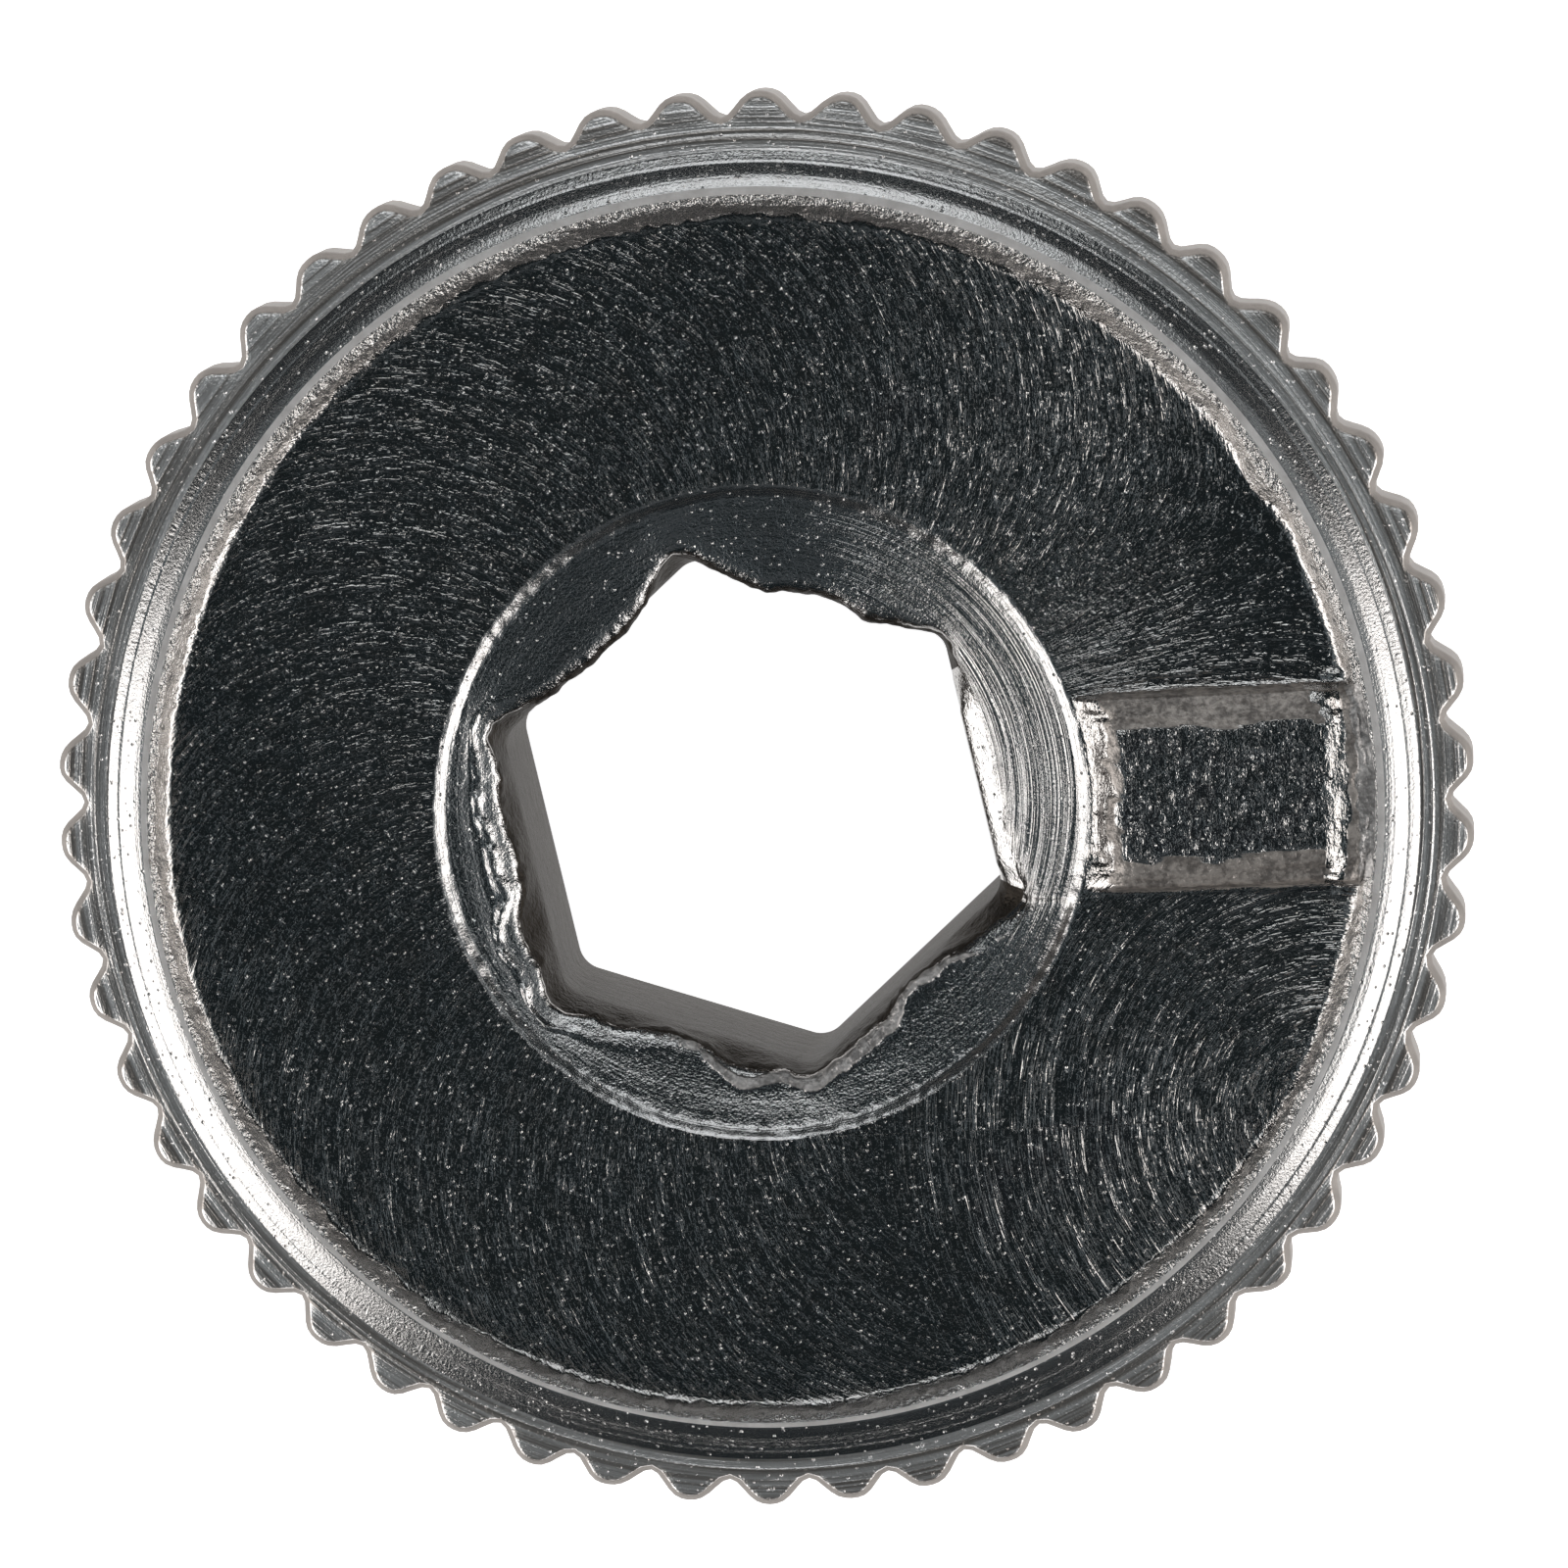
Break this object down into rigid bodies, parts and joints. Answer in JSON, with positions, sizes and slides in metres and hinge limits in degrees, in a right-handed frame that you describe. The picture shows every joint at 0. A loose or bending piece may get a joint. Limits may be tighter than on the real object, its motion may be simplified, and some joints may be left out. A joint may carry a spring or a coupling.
{
  "type": "cam follower",
  "caption": "Serrated steel disc with a hex drive hole and a raised ring around a sunken annular track that one square-sided lug crosses.",
  "frame": {"origin": "centre of the back face, on the axis of the disc", "axes": "+Z along the disc's axis, out of the front face with the track; +X along the middle of the lug"},
  "size_m": [0.02, 0.02, 0.0064],
  "materials": {
    "plated_steel": "bright nickel-like plating over as-pressed, milled and turned steel"
  },
  "bodies": {
    "root": {"follower_disc": "plated_steel"}
  },
  "joints": []
}
